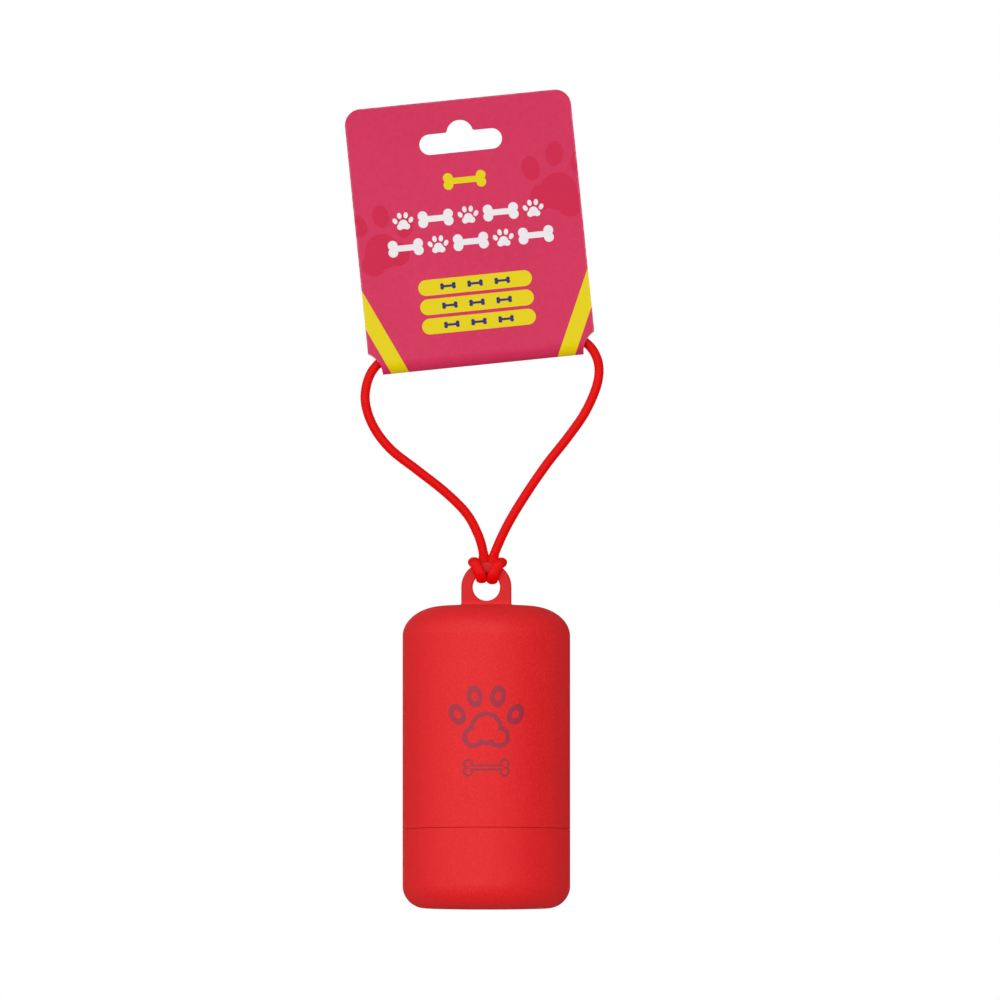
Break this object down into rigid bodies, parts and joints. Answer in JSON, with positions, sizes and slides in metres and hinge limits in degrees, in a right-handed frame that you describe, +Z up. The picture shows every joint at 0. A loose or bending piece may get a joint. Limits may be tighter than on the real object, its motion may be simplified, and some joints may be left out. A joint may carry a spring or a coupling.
{
  "type": "waste bag dispenser",
  "caption": "Screw-capped capsule for a roll of waste bags, hanging by a cord loop from a folded header card with a hang slot.",
  "frame": {"origin": "centre of the hang slot in the header card, midway through the card", "axes": "+Z up along the capsule's axis, -Y is the front, +Y is the side with the bag slot, +X to the right seen from the front"},
  "size_m": [0.0663, 0.045, 0.2103],
  "materials": {
    "card": "satin printed board",
    "adhesive": "dried glue",
    "cord": "braided polyester cord",
    "sleeve": "satin",
    "shell": "fine matte moulding",
    "cap": "fine matte moulding",
    "spindle": "natural moulding",
    "core": "plain board tube",
    "film": "thin film, folded and wound"
  },
  "bodies": {
    "card": {"header_card": "card", "card_adhesive": "adhesive"},
    "loop": {"tether_cord": "cord", "cord_hitch": "cord", "cord_sleeve": "sleeve"},
    "shell": {"body_shell": "shell", "bag_tail": "film"},
    "spindle": {"roll_spindle": "spindle"},
    "cap": {"end_cap": "cap"},
    "roll": {"roll_core": "core", "bag_roll": "film"}
  },
  "joints": [
    {"name": "loop_swing", "type": "hinge", "parent": "card", "child": "loop", "pos_m": [0.0054, 0, -0.05303], "axis": [0.9949, 0, 0.1011], "range_deg": [-45, 45]},
    {"name": "case_swing", "type": "hinge", "parent": "loop", "child": "shell", "pos_m": [0.0066, 0, -0.1145], "axis": [0, 1, 0], "range_deg": [-30, 30]},
    {"name": "cap_drop", "type": "slide", "parent": "shell", "child": "spindle", "axis": [0, 0, -1], "range_m": [0, 0.0091]},
    {"name": "cap_twist", "type": "hinge", "parent": "spindle", "child": "cap", "pos_m": [0.0066, 0, -0.19], "axis": [0, 0, -1], "range_deg": [0, 540]},
    {"name": "roll_spin", "type": "hinge", "parent": "spindle", "child": "roll", "pos_m": [0.0066, 0, -0.16], "axis": [0, 0, 1], "continuous": true}
  ],
  "couplings": [
    {"joint": "cap_drop", "follows": "cap_twist", "m_per_rad": 0.00095493}
  ]
}
